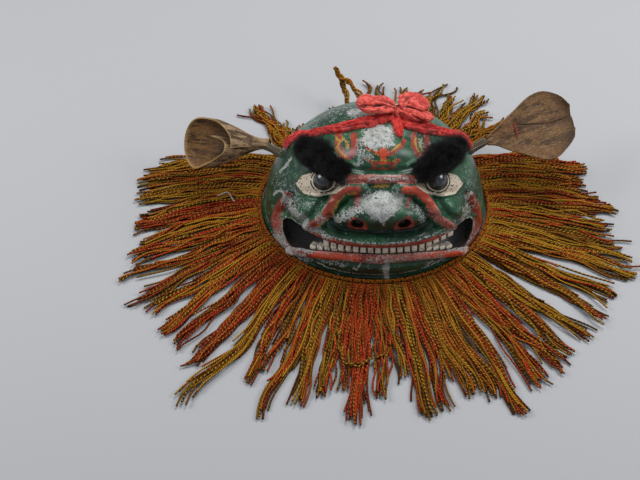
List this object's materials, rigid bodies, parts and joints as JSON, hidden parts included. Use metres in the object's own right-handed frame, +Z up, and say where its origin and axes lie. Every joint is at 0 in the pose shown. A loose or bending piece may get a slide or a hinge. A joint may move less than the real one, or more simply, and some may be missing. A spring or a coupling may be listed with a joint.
{
  "type": "lion dance head",
  "caption": "Carved lion mask with fixed grinning mouth, fur brows, hide ears, red cloth bow and a yarn mane, lying face up on its rim.",
  "frame": {"origin": "under the middle of the whole part's box, on the surface it lies on", "axes": "+Z up, chin and mouth towards -Y, crown towards +Y, the lion's own right ear at -X as seen from the chin"},
  "size_m": [0.6456, 0.5372, 0.1766],
  "materials": {
    "lacquered_wood": "worn green lacquer with red bands, semi-gloss",
    "tooth_paint": "cream paint over carved wood",
    "eye_lacquer": "dark gloss",
    "black_fur": "matte fur",
    "red_cloth": "crumpled faded red cloth",
    "hide": "dry raw hide, grained",
    "tie_cord": "twisted cord",
    "mane_yarn": "twisted yarn, golden olive and brick red"
  },
  "bodies": {
    "root": {"mask_shell": "lacquered_wood", "teeth_upper": "tooth_paint", "teeth_lower": "tooth_paint", "pupil_left": "eye_lacquer", "pupil_right": "eye_lacquer", "brow_left": "black_fur", "brow_right": "black_fur", "sash_left": "red_cloth", "sash_right": "red_cloth", "bow_knot": "red_cloth", "bow_lobe_left": "red_cloth", "bow_lobe_right": "red_cloth", "bow_tail": "red_cloth", "ear_left": "hide", "ear_right": "hide", "ear_tie_left": "tie_cord", "ear_tie_right": "tie_cord", "fringe_left": "mane_yarn", "fringe_chin": "mane_yarn", "fringe_right": "mane_yarn", "fringe_crown": "mane_yarn"}
  },
  "joints": []
}
